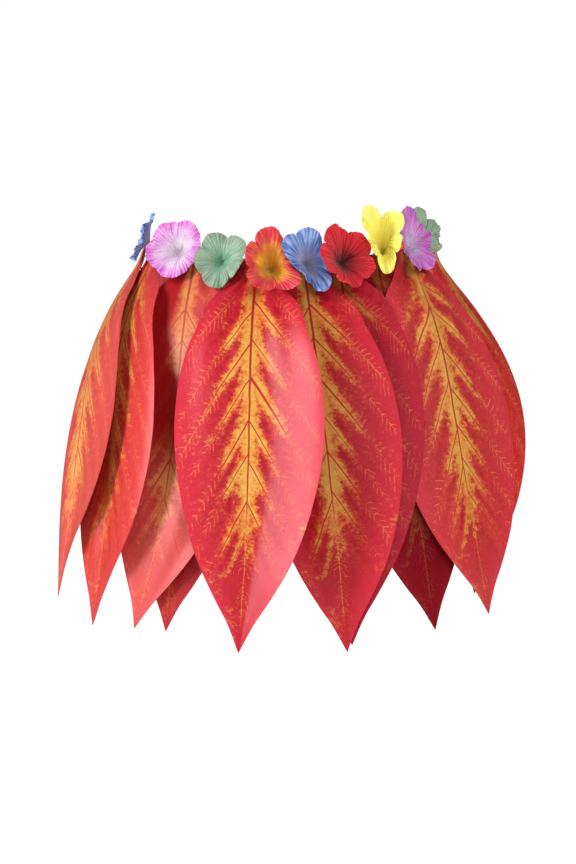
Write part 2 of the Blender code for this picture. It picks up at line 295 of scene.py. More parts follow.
class Wiring:
    """Adds nodes to one shader tree and joins them."""

    def __init__(self, tree: bpy.types.NodeTree) -> None:
        """Start on the tree that the nodes go into."""
        self.tree = tree

    def node(self, kind: str, inputs: Optional[Inputs] = None, **settings: object) -> Node:
        """Add one node.

        Args:
            kind: the node's type.
            inputs: what its inputs are joined or set to, by name or place.
            **settings: values for the node's own properties.

        Returns:
            The new node.
        """
        sources = {key: unwrap(source) for key, source in (inputs or {}).items()}
        made = self.tree.nodes.new(kind)
        made.location = (40 * len(self.tree.nodes), 0)
        for name, value in settings.items():
            setattr(made, name, value)
        self.fill(made, sources)
        return made

    def fill(self, node: Node, inputs: Inputs) -> None:
        """Join a node's inputs to sockets, or set them to plain values.

        Args:
            node: the node.
            inputs: a shader value, a socket, a number or a colour for each, by name or place.
        """
        for key, value in inputs.items():
            target = node.inputs[key]
            source = unwrap(value)
            if isinstance(source, Socket):
                self.tree.links.new(source, target)
            elif target.type == "RGBA":
                target.default_value = (*source, 1.0)
            else:
                target.default_value = source

    def math(self, operation: str, *values: object, clamp: bool = False) -> Value:
        """Add a Math node.

        Args:
            operation: what it does.
            *values: its inputs, shader values or numbers.
            clamp: whether the result is kept between 0 and 1.

        Returns:
            The result.
        """
        inputs = dict(enumerate(values))
        made = self.node("ShaderNodeMath", inputs, operation=operation, use_clamp=clamp)
        return Value(self, made.outputs[0])

    def most(self, first: object, second: object) -> Value:
        """Take the greater of two values."""
        return self.math("MAXIMUM", first, second)

    def fall(self, value: Value, width: object) -> Value:
        """Fall in a straight line from 1 at a value of 0 to 0 at a width and past it."""
        return self.math("SUBTRACT", 1.0, value / width, clamp=True)

    def teeth(self, value: Value, spacing: float) -> Value:
        """Climb from 0 to 0.5 and fall back, once in each spacing."""
        return self.math("PINGPONG", value / spacing, 0.5)

    def step(self, value: object, low: object, high: object) -> Value:
        """Rise smoothly from 0 to 1 between two values, or fall where low is above high.

        Args:
            value: where to read it.
            low: value where the mask is 0.
            high: value where the mask is 1.

        Returns:
            The mask.
        """
        inputs = {"Value": value, "From Min": low, "From Max": high}
        made = self.node("ShaderNodeMapRange", inputs, interpolation_type="SMOOTHSTEP")
        return Value(self, made.outputs["Result"])

    def mix(self, share: object, first: object, second: object) -> Value:
        """Blend two colours by the share of the second."""
        made = self.node("ShaderNodeMix", {"Factor": share, 6: first, 7: second}, data_type="RGBA")
        return Value(self, made.outputs[2])

    def noise(self, vector: Value, scale: float, detail: float = 2.0, rough: float = 0.5) -> Value:
        """Read a Noise Texture, about 0.5 on average, with this many features to a unit."""
        inputs = {"Vector": vector, "Scale": scale, "Detail": detail, "Roughness": rough}
        return Value(self, self.node("ShaderNodeTexNoise", inputs).outputs["Fac"])

    def vector(self, x: object, y: object, z: object = 0.0) -> Value:
        """Join three values into a vector."""
        return Value(self, self.node("ShaderNodeCombineXYZ", {0: x, 1: y, 2: z}).outputs[0])

    def uv(self, name: str) -> list[Value]:
        """Read one of the piece's UV maps.

        Args:
            name: the map's name.

        Returns:
            Its two coordinates.
        """
        place = self.node("ShaderNodeUVMap", uv_map=name).outputs[0]
        parts = self.node("ShaderNodeSeparateXYZ", {0: place})
        return [Value(self, output) for output in parts.outputs[:2]]

    def group(self, tree: bpy.types.NodeTree, **values: object) -> dict[str, Value]:
        """Place a node group with these inputs, and give its outputs by name."""
        made = self.node("ShaderNodeGroup", values, node_tree=tree)
        return {output.name: Value(self, output) for output in made.outputs}


def new_group(name: str, inputs: Sequence[str], outputs: Sequence[str]) -> tuple[Wiring, list[Value]]:
    """Start a shader node group, all of whose inputs and outputs are numbers.

    Args:
        name: the group's name.
        inputs: name of each input.
        outputs: name of each output.

    Returns:
        Its wiring and its inputs.
    """
    tree = bpy.data.node_groups.new(name, "ShaderNodeTree")
    for side, labels in (("INPUT", inputs), ("OUTPUT", outputs)):
        for label in labels:
            tree.interface.new_socket(name=label, in_out=side, socket_type="NodeSocketFloat")
    wires = Wiring(tree)
    start = wires.node("NodeGroupInput")
    return wires, [Value(wires, start.outputs[label]) for label in inputs]


RIB_SPACING = 36.0  # millimetres between side ribs, down the midrib


def vein_group() -> bpy.types.NodeTree:
    """Build the print of veins: ribs, amber beside them, and fine feathered lines further out.

    Its inputs are millimetres across from the midrib and down the pattern, the share of
    the half width, and a shift that makes each leaf's print its own.

    Returns:
        The group.
    """
    wires, (across, down, edge, shift) = new_group(
        "leaf veins",
        ("Across", "Down", "Edge", "Shift"),
        ("Amber", "Gold", "Rib", "Feather", "Blotch", "Margin"),
    )
    step, noise, most = wires.step, wires.noise, wires.most
    place = wires.vector(across, down, shift)
    broad = noise(place, 0.030) - 0.5
    mottle = noise(place, 0.20, 3.0, 0.66)
    fine = noise(place, 0.60, 2.0, 0.6)
    reach = abs(broad * 1.6 + across)
    right = across > 0.0
    # Each side rib leaves the midrib at its root and runs out and down, steeper towards the tip.
    lean = (down * 0.0034 + 1.42) - right * 0.32
    root = broad * 5.0 + (down - reach * lean)
    uneven = noise(wires.vector(right, root * 0.012, shift), 1.0)
    order = (uneven * 1.35 + root / RIB_SPACING) + shift * 0.31
    side = (wires.math("FRACT", order) - 0.5) * 20.0
    away = abs(side)
    rooted = step(root, 12.0, 40.0) * step(root, 290.0, 228.0)
    # Amber: beside the side ribs, narrowing and fading outwards, and beside the midrib.
    half = broad * 7.0 + (wires.fall(reach, 50.0) ** 0.9 * 7.4 + 0.8)
    fade = step(broad * 40.0 + reach, step(down, 150.0, 310.0) * -30.0 + 44.0, 6.0)
    banded = wires.fall(away, half) ** 0.75 * (rooted * fade)
    core = wires.fall(reach, 12.0) * 1.10 * step(down, 300.0, 215.0)
    strip = most(banded, core)
    # Small cells break its edge up: their walls stay amber, their middles go red.
    bend = {0: wires.vector(mottle, fine), 1: (9.0, 5.0, 0.0), 2: place}
    bent = wires.node("ShaderNodeVectorMath", bend, operation="MULTIPLY_ADD").outputs[0]
    cells = wires.node(
        "ShaderNodeTexVoronoi", {"Vector": bent, "Scale": 0.26}, feature="DISTANCE_TO_EDGE"
    )
    wall = step(cells.outputs["Distance"], 0.24, 0.02)
    inner = step(reach, 34.0, 16.0) * step(away, 10.0, 6.0)
    inner = inner * (rooted * step(reach, 2.0, 7.0))
    net = wall * inner * 0.42
    hatch = wires.teeth(mottle * 10.0 + (away * 1.15 + reach * 1.3), 2.7)
    grain = (wall * 0.30 + hatch * 0.30) + (mottle * -2.3 + 0.98)
    amber = (grain * (1.12 - strip) + strip) * step(strip, 0.02, 0.22)
    glow = noise(place, 0.026, 1.0) * 1.1 - 0.30
    gold = step(grain * 0.85 + strip, glow, glow + 0.95) * 0.95
    # Dark ribs, fading out along their length.
    width = down * -0.0036 + 1.30
    mid = step(reach, width + 0.35, width * 0.6) * step(down, 268.0, 215.0)
    thin = reach * -0.013 + 0.80
    ribs = step(away, thin + 0.22, thin * 0.5) * (rooted * step(reach, 47.0, 22.0))
    # Fine feathered lines: barbs beside the far end of each side rib, its quill, and curls.
    patch = noise(place, 0.055, 2.0, 0.6)
    below = (side > 0.0) * 1.15 - 1.05
    barb = wires.teeth(patch * 4.0 + (mottle * 0.8 + (away * below + reach)), 2.6)
    length = patch * 30.0 - 10.0
    barbs = step(barb, 0.14, 0.04) * step(away, length, length - 3.0)
    quill = step(away, 0.55, 0.20) * step(patch, 0.42, 0.52)
    curl = abs(noise(place, 0.13, 1.0) - 0.5)
    curl = step(curl, 0.028, 0.010) * step(mottle, 0.42, 0.56)
    outer = step(reach, 9.0, 30.0) * step(edge, 0.975, 0.93) * step(root, -25.0, 20.0)
    lines = most(most(barbs, quill), curl * 0.28) * (outer * step(root, 246.0, 225.0))
    # Below the side ribs the same lines leave the midrib itself.
    low = step(down, 225.0, 262.0) * step(down, 345.0, 315.0)
    twig = wires.teeth(reach * -1.25 + (patch * 26.0 + down), 5.2)
    twigs = step(twig, 0.085, 0.02) * step(reach, patch * 34.0 - 8.0, 1.0)
    lines = most(lines, most(step(reach, 0.62, 0.25), twigs) * low)
    # Blotches of deeper dye between the ribs.
    between = step(away, 3.0, 8.0) * step(reach, 50.0, 10.0)
    marks = {
        "Amber": step(most(amber, net), 0.10, 0.80),
        "Gold": gold,
        "Rib": most(mid, ribs),
        "Feather": lines * step(fine, 0.34, 0.60),
        "Blotch": between * step(mottle, 0.40, 0.62) * step(down, 320.0, 250.0),
        "Margin": step(edge, 0.25, 1.0),
    }
    wires.node("NodeGroupOutput", marks)
    return wires.tree


def weave_group() -> bpy.types.NodeTree:
    """Build a satin weave: fine threads both ways, and a slow unevenness over them.

    Returns:
        The group; it puts out a height of 0 to 1 and a slow variation of 0 to 1.
    """
    names = ("Across", "Down", "Threads")
    wires, (across, down, threads) = new_group("satin weave", names, ("Height", "Slow"))
    warp = wires.math("SINE", across * threads)
    weft = wires.math("SINE", down * threads * 0.23)
    slow = wires.noise(wires.vector(across, down), 0.045)
    height = (warp * 0.35 + weft * 0.15) + 0.5
    wires.node("NodeGroupOutput", {"Height": height, "Slow": slow})
    return wires.tree


def petal_group() -> bpy.types.NodeTree:
    """Build a petal's dye: pressed rays, a throat, and a rim that the dye has gathered in.

    Its inputs are turns round the flower, the share of its radius, how many rays there are,
    a shift that makes each flower its own, and where its throat ends and its rim starts.

    Returns:
        The group.
    """
    wires, (turn, ring, rays, shift, inner, outer) = new_group(
        "petal dye",
        ("Turn", "Ring", "Rays", "Shift", "Inner", "Outer"),
        ("Ray", "Throat", "Rim", "Cloud"),
    )
    angle = turn * (2.0 * math.pi)
    cosine, sine = wires.math("COSINE", angle), wires.math("SINE", angle)
    place = wires.vector(cosine * rays, sine * rays, ring * 1.1 + shift)
    ray = wires.noise(place, 1.0, 2.0, 0.6)
    cloud = wires.noise(wires.vector(cosine * ring, sine * ring, shift), 2.6, 3.0, 0.55)
    wander = (cloud - 0.5) * 0.45 + ((ray - 0.5) * 0.40 + ring)
    marks = {
        "Ray": wires.step(ray, 0.36, 0.64),
        "Throat": wires.step(inner - wander, -0.20, 0.18),
        "Rim": wires.step(wander - outer, -0.22, 0.22),
        "Cloud": wires.step(cloud, 0.35, 0.65),
    }
    wires.node("NodeGroupOutput", marks)
    return wires.tree


@dataclass
class NodeGroups:
    """The shader node groups that the finishes share."""

    veins: bpy.types.NodeTree = field(default_factory=vein_group)
    weave: bpy.types.NodeTree = field(default_factory=weave_group)
    petal: bpy.types.NodeTree = field(default_factory=petal_group)


def new_material(name: str) -> tuple[bpy.types.Material, Wiring, Node]:
    """Start a material with a Principled shader.

    Args:
        name: the material's name.

    Returns:
        The material, its wiring and its shader.
    """
    material = bpy.data.materials.new(name)
    material.use_nodes = True
    return material, Wiring(material.node_tree), material.node_tree.nodes["Principled BSDF"]


def bumped(wires: Wiring, height: Value, depth: float) -> Socket:
    """Make a normal bumped by a height, where a height of 1 stands for a depth in metres."""
    return wires.node("ShaderNodeBump", {"Distance": depth, "Height": height}).outputs[0]


@dataclass(frozen=True)
class LeafPrint:
    """Satin printed with a leaf's veins, with painted shade, shadow and sheen on some leaves."""

    name: str
    warmth: float = 0.0  # 0 crimson, 1 orange red
    fade: float = 0.0  # how far it pales: on a back, where the print shows through; on a face, a painted sheen
    shift: float = 0.0  # makes each leaf's print its own
    roughness: float = 0.33
    painted_light_share: float = 1.0  # below 1, darkened towards near black as painted shade
    painted_shadow: float = 0.0  # how far across from its left margin a deep red painted shadow reaches
    painted_shadow_end: float = 225.0  # how far down the painted shadow reaches, in millimetres
    painted_shadow_soft: float = 60.0  # over how many millimetres that ends
    amber: float = 1.0  # strength of the amber
    plain: float = 0.0  # this far down, in millimetres, the amber is faint
    threads: float = 17.0  # radians of weave to a millimetre
    weave_depth: float = 0.00004
    crimson: Colour = (0.45, 0.006, 0.023)
    flame: Colour = (0.64, 0.030, 0.012)
    rose: Colour = (0.60, 0.020, 0.048)
    deep: Colour = (0.28, 0.002, 0.006)
    orange: Colour = (0.62, 0.12, 0.018)
    gold: Colour = (0.62, 0.37, 0.060)
    rib: Colour = (0.40, 0.012, 0.014)
    line: Colour = (0.86, 0.30, 0.065)
    # pale colour of the print showing through a back, also the colour of the painted sheen on a face
    back: Colour = (0.74, 0.20, 0.16)
    # deep red of the painted shadow on a left margin
    shadow_wine: Colour = (0.34, 0.001, 0.004)
    # near black that a leaf in painted shade is darkened towards
    painted_shade_dark: Colour = (0.10, 0.0, 0.004)

    def ground(self, start: Colour, warmth: float) -> Colour:
        """Warm a colour towards the flame red."""
        return tuple(c + (f - c) * warmth for c, f in zip(start, self.flame))

    def material(self, groups: NodeGroups) -> bpy.types.Material:
        """Build the material.

        Args:
            groups: the shared node groups.

        Returns:
            The printed satin.
        """
        material, wires, shader = new_material(self.name)
        u, v = wires.uv("pattern")
        edge_u, _ = wires.uv("share")
        across = u * 100.0
        down = v * 100.0
        edge = abs(edge_u * 2.0 - 1.0)
        veins = wires.group(groups.veins, Across=across, Down=down, Edge=edge, Shift=self.shift)
        weave = wires.group(groups.weave, Across=across, Down=down, Threads=self.threads)
        ripe = self.amber
        if self.plain > 0.0:
            ripe = wires.most(wires.step(down, self.plain * 0.4, self.plain) * ripe, 0.25)
        red = self.ground(self.crimson, self.warmth)
        pale = self.ground(self.rose, self.warmth * 0.7)
        base = wires.mix(veins["Margin"], red, pale)
        layers = [
            (weave["Slow"] * 0.3, self.deep),
            (veins["Blotch"] * 0.75, self.deep),
            (veins["Amber"] * ripe, self.orange),
            (veins["Gold"] * ripe, self.gold),
            (veins["Feather"] * 0.58, self.line),
            (veins["Rib"], self.rib),
        ]
        # Paling to the back colour: on a back, the print showing through; on a face, a painted satin
        # sheen.
        if self.fade > 0.0:
            layers.append((self.fade, self.back))
        # Painted shadow: deep red over the left margin, where a neighbouring leaf casts its shadow.
        if self.painted_shadow > 0.0:
            limit = wires.step(down, 108.0, 145.0) * 0.24 + self.painted_shadow
            left = wires.step(edge_u, limit, limit - 0.12)
            left = left * wires.step(down, self.painted_shadow_end, self.painted_shadow_end - self.painted_shadow_soft)
            layers.append((left * 0.92, self.shadow_wine))
        # Painted shade: a leaf that hangs in shade below its neighbours is darkened.
        if self.painted_light_share < 1.0:
            layers.append((1.0 - self.painted_light_share, self.painted_shade_dark))
        for share, colour in layers:
            base = wires.mix(share, base, colour)
        look = {
            "Base Color": base,
            "Roughness": weave["Slow"] * 0.12 + (self.roughness - 0.06),
            # the painted shade dims the reflection as well
            "Specular IOR Level": 0.66 * self.painted_light_share if self.fade < 0.4 else 0.25,
            "Specular Tint": (1.0, 0.66, 0.70),
            "Sheen Weight": 0.02,
            "Sheen Roughness": 0.35,
            "Sheen Tint": (1.0, 0.62, 0.62),
            "Normal": bumped(wires, weave["Height"], self.weave_depth),
        }
        wires.fill(shader, look)
        return material


class FlowerDye(Enum):
    """The flowers' dyes.

    Each has the colours of its throat, blade, rim and rays, how strong the rays are, how far
    the throat reaches, and where the rim starts, as shares of the radius.
    """

    BLUE = (
        (0.46, 0.46, 0.68), (0.075, 0.23, 0.64), (0.018, 0.11, 0.52), (0.48, 0.62, 0.86),
        0.8, 0.40, 0.72,
    )
    PINK = (
        (0.72, 0.62, 0.72), (0.69, 0.44, 0.69), (0.62, 0.075, 0.52), (0.80, 0.66, 0.80),
        0.5, 0.44, 0.72,
    )
    ORCHID = (
        (0.66, 0.56, 0.72), (0.56, 0.17, 0.54), (0.50, 0.090, 0.46), (0.74, 0.50, 0.74),
        0.4, 0.34, 0.66,
    )
    GREEN = (
        (0.15, 0.44, 0.26), (0.28, 0.47, 0.33), (0.25, 0.38, 0.27), (0.50, 0.40, 0.30),
        0.35, 0.30, 0.80,
    )
    ORANGE = (
        (0.92, 0.46, 0.006), (0.90, 0.39, 0.014), (0.72, 0.012, 0.065), (0.86, 0.40, 0.03),
        0.3, 0.38, 0.58,
    )
    RED = (
        (0.11, 0.0, 0.003), (0.48, 0.003, 0.012), (0.66, 0.012, 0.026), (0.80, 0.075, 0.085),
        0.35, 0.34, 0.62,
    )
    YELLOW = (
        (0.92, 0.66, 0.02), (0.97, 0.84, 0.055), (0.98, 0.88, 0.15), (1.0, 0.95, 0.36),
        0.5, 0.25, 0.70,
    )


@dataclass(frozen=True)
class PetalCloth:
    """Thin dyed flower cloth, pressed into rays."""

    dye: FlowerDye
    shift: float = 0.0  # makes each flower's dye its own
    roughness: float = 0.50
    rays: float = 9.0
    ray_depth: float = 0.0007

    def material(self, name: str, groups: NodeGroups) -> bpy.types.Material:
        """Build the material.

        Args:
            name: the material's name.
            groups: the shared node groups.

        Returns:
            The dyed cloth.
        """
        throat, blade, rim, ray, strength, inner, outer = self.dye.value
        material, wires, shader = new_material(name)
        turn, ring = wires.uv("pattern")
        dye = wires.group(
            groups.petal, Turn=turn, Ring=ring, Rays=self.rays, Shift=self.shift,
            Inner=inner, Outer=outer,
        )
        base = wires.mix(dye["Rim"], blade, rim)
        base = wires.mix(dye["Ray"] * strength, base, ray)
        base = wires.mix(dye["Throat"], base, throat)
        base = wires.mix(dye["Cloud"] * 0.35, base, tuple(0.65 * c for c in rim))
        look = {
            "Base Color": base,
            "Roughness": dye["Cloud"] * 0.1 + (self.roughness - 0.05),
            "Specular IOR Level": 0.30,
            "Subsurface Weight": 0.20,
            "Subsurface Radius": (0.004, 0.003, 0.003),
            "Sheen Weight": 0.15,
            "Sheen Roughness": 0.45,
            "Normal": bumped(wires, dye["Ray"], self.ray_depth),
        }
        wires.fill(shader, look)
        return material


@dataclass(frozen=True)
class KnitElastic:
    """Red elastic knitted in fine upright ribs, with painted shade in the grooves between them."""

    name: str = "knit elastic"
    colour: Colour = (0.36, 0.012, 0.022)
    # darker red of the painted shade in the grooves between ribs
    painted_groove_shade: Colour = (0.16, 0.004, 0.010)
    ribs: float = 3.2  # radians of rib to a millimetre
    rib_depth: float = 0.0003

    def material(self) -> bpy.types.Material:
        """Build the material.

        Returns:
            The ribbed elastic.
        """
        material, wires, shader = new_material(self.name)
        u, v = wires.uv("pattern")
        rib = wires.math("SINE", u * (100.0 * self.ribs)) * 0.5 + 0.5
        fuzz = wires.noise(wires.vector(u, v), 140.0, 3.0)
        # Painted shade: the grooves between ribs are darkened in colour as well as bumped.
        base = wires.mix(rib, self.painted_groove_shade, self.colour)
        look = {
            "Base Color": wires.mix(fuzz * 0.3, base, self.colour),
            "Roughness": fuzz * 0.2 + 0.6,
            "Normal": bumped(wires, fuzz * 0.3 + rib, self.rib_depth),
        }
        wires.fill(shader, look)
        return material


# ---- mesh helpers
def points_of(piece: bpy.types.Object) -> np.ndarray:
    """Read a piece's vertices.

    Args:
        piece: the piece.

    Returns:
        One row for each vertex.
    """
    points = np.empty(len(piece.data.vertices) * 3)
    piece.data.vertices.foreach_get("co", points)
    return points.reshape(-1, 3)


def place_points(piece: bpy.types.Object, points: np.ndarray) -> None:
    """Put a piece's vertices where these rows say.

    Args:
        piece: the piece.
        points: one row for each vertex.
    """
    piece.data.vertices.foreach_set("co", points.ravel())
    piece.data.update()


def paint_uv(piece: bpy.types.Object, name: str, values: np.ndarray) -> None:
    """Give a piece a UV map from a pair of values at each vertex.

    Args:
        piece: the piece.
        name: the map's name.
        values: one row of two for each vertex.
    """
    corners = np.empty(len(piece.data.loops), dtype=np.int64)
    piece.data.loops.foreach_get("vertex_index", corners)
    layer = piece.data.uv_layers.new(name=name)
    layer.data.foreach_set("uv", values[corners].astype(np.float32).ravel())


def new_grid(name: str, columns: int, rows: int) -> bpy.types.Object:
    """Add a flat grid from -1 to 1, without UV maps.

    Args:
        name: the piece's name.
        columns: faces across.
        rows: faces down.

    Returns:
        The grid, the only object selected.
    """
    bpy.ops.object.select_all(action="DESELECT")
    bpy.ops.mesh.primitive_grid_add(
        x_subdivisions=columns, y_subdivisions=rows, size=2.0, calc_uvs=False
    )
    piece = bpy.context.object
    piece.name = piece.data.name = name
    return piece


def finish_sheet(
    piece: bpy.types.Object, wall: float, materials: Sequence[bpy.types.Material],
    smooth: float = 60.0,
) -> None:
    """Weld a sheet, give it its wall, its cloth and smooth shading.

    Args:
        piece: the sheet.
        wall: its thickness.
        materials: its outer cloth and, where there is one, its inner cloth.
        smooth: angle in degrees above which an edge stays sharp.
    """
    bpy.ops.object.select_all(action="DESELECT")
    piece.select_set(True)
    bpy.context.view_layer.objects.active = piece
    bpy.ops.object.mode_set(mode="EDIT")
    bpy.ops.mesh.select_all(action="SELECT")
    bpy.ops.mesh.remove_doubles(threshold=WELD)
    bpy.ops.object.mode_set(mode="OBJECT")
    for material in materials:
        piece.data.materials.append(material)
    solid = piece.modifiers.new("cloth wall", "SOLIDIFY")
    solid.thickness = wall
    solid.offset = 0.0
    if len(materials) > 1:
        solid.material_offset = 1
        solid.material_offset_rim = 0
    bpy.ops.object.modifier_apply(modifier=solid.name)
    bpy.ops.object.shade_smooth_by_angle(angle=math.radians(smooth))


# ---- leaves
@dataclass(frozen=True)
class Leaf:
    """One leaf: where it hangs, the layers under it, its folds, its print, and any painted shade,
    shadow and sheen.
    """

    azimuths: tuple[float, float, float]  # at the top, at the belly and at the tip
    length: float  # as a share of the pattern length
    seats: tuple[float, float] = (0, 0)  # leaves below its left and right margins at its top
    layers: tuple[float, float, float] = (0.0, 0.0, 0.0)  # below its left, middle and right
    lifts: tuple[float, float] = (0.0, 0.0)  # how far its left and right margins stand up
    pleat: float = 0.0012  # depth of the folds below its gathered top
    sway: float = 0.0010  # depth of the soft lengthwise folds
    phase: float = 0.0  # sets where its folds lie across it, in radians
    warmth: float = 0.3  # 0 crimson, 1 orange red
    painted_light_share: float = 1.0  # below 1, its colour is darkened as painted shade, where it hangs in shade
    painted_shadow: float = 0.0  # how far across from its left margin its deep red painted shadow reaches
    amber: float = 1.0  # strength of its amber
    plain: float = 0.0  # millimetres from its top to the full amber
    painted_sheen: float = 0.0  # how far its face is paled, a painted satin sheen
    painted_shadow_end: float = 225.0  # how far down its painted shadow reaches, in millimetres


BACK = {"length": 0.95, "seats": (0, 1), "layers": (0.2, 0.8, 1.4), "lifts": (0.0, 0.004)}

# Some leaves carry painted shade (a darkened colour), a painted shadow (deep red along the left
# margin) and a painted sheen (a paled face).
LEAVES = (
    Leaf(
        (-88.5, -67.1, -72.2), 0.917, (1, 1), (1.8, 2.4, 3.0), (0.0, 0.008), 0.0014, 0.0022,
        phase=0.3, warmth=0.62, amber=0.90, painted_sheen=0.24,
    ),
    Leaf(
        (-68.8, -53.8, -55.6), 0.967, (0, 1), (0.5, 1.7, 2.9), (0.0, 0.012), 0.0012, 0.0014,
        phase=1.1, warmth=0.62, painted_shadow=0.36, painted_shadow_end=280.0, plain=60.0, painted_sheen=0.10,
    ),
    Leaf(
        (-40.6, -32.8, -42.0), 0.954, (0, 1), (0.8, 1.2, 1.6), (0.0, 0.002), 0.0024, 0.0010,
        phase=2.0, warmth=0.45, painted_shadow=0.46, amber=0.70, painted_sheen=0.22,
    ),
    Leaf(
        (-26.3, -29.1, -33.9), 0.949, pleat=0.0006, sway=0.0006,
        phase=0.5, warmth=0.70, painted_light_share=0.62,
    ),
    Leaf(
        (-13.0, -10.9, -12.8), 0.970, (1, 1), (4.0, 3.5, 4.2), (0.003, 0.015), 0.0040, 0.0008,
        phase=1.0, warmth=0.10, plain=48.0,
    ),
    Leaf(
        (5.2, 9.5, 14.5), 0.971, (0, 1), (0.4, 1.9, 3.0), (0.0, 0.004), 0.0014, 0.0012,
        phase=0.0, warmth=0.20, painted_light_share=0.84, amber=0.92,
    ),
    Leaf(
        (19.6, 17.2, 15.9), 0.957, (0, 1), (0.0, 1.3, 2.6), (0.0, 0.002), 0.0008, 0.0008,
        phase=1.7, warmth=0.15, painted_light_share=0.66, amber=0.60,
    ),
    Leaf(
        (36.3, 33.5, 38.0), 0.955, pleat=0.0005, sway=0.0004,
        phase=2.4, warmth=0.05, painted_light_share=0.28, amber=0.50,
    ),
    Leaf(
        (52.8, 46.3, 50.9), 0.939, (1, 1), (1.1, 2.1, 2.3), (0.002, 0.003), 0.0050, 0.0014,
        phase=0.6, warmth=0.25, amber=0.95, painted_sheen=0.06,
    ),
    Leaf(
        (85.0, 63.4, 48.0), 0.886, (0, 1), (0.4, 0.9, 1.5), (0.0, 0.003), 0.0008, 0.0006,
        phase=1.4, warmth=0.80, amber=0.80,
    ),
    Leaf((110.0, 115.4, 123.0), phase=0.2, warmth=0.3, **BACK),
    Leaf((135.0, 138.5, 142.0), phase=1.2, warmth=0.6, **BACK),
    Leaf((159.0, 163.0, 167.0), phase=2.2, warmth=0.2, **BACK),
    Leaf((184.0, 188.0, 191.0), phase=0.7, warmth=0.5, **BACK),
    Leaf((208.5, 212.0, 216.0), phase=1.7, warmth=0.3, **BACK),
    Leaf((232.0, 236.2, 241.0), phase=2.7, warmth=0.7, **{**BACK, "length": 0.92}),
    Leaf((254.0, 249.4, 247.0), 0.86, phase=0.9, warmth=0.4),
)


